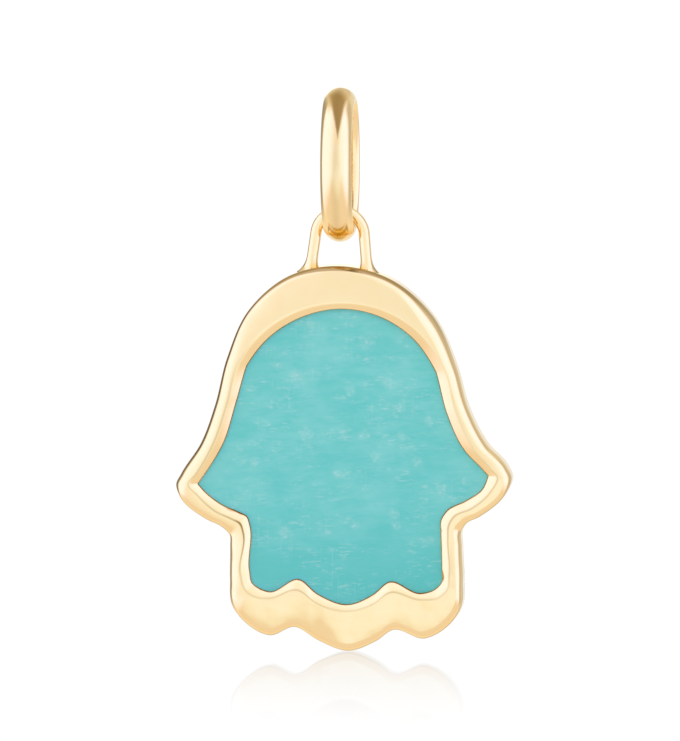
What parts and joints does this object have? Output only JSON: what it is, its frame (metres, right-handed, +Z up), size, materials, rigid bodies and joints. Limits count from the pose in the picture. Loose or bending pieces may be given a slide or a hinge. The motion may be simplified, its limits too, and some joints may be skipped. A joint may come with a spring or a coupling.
{
  "type": "hamsa pendant",
  "caption": "Hand-shaped gold pendant inlaid with a flat slab of blue-green stone, hanging by a soldered wire loop from a long oval bail.",
  "frame": {"origin": "where the chain sits: the top of the bail's hollow, at the middle of its band", "axes": "+Z up along the bail's long way as it hangs, +X across the hand and along a chain that runs through the bail, +Y from the pendant's front to its back"},
  "size_m": [0.0181, 0.0062, 0.0303],
  "materials": {
    "setting_gold": "polished yellow gold plate",
    "stone": "flat polished blue-green amazonite with pale flecks",
    "bail_gold": "polished yellow gold plate"
  },
  "bodies": {
    "bail": {"bail": "bail_gold"},
    "pendant": {"setting": "setting_gold", "stone": "stone"}
  },
  "joints": [
    {"name": "swing", "type": "hinge", "parent": "bail", "child": "pendant", "pos_m": [0, 0, -0.00579], "axis": [1, 0, 0], "range_deg": [-75, 75]}
  ]
}
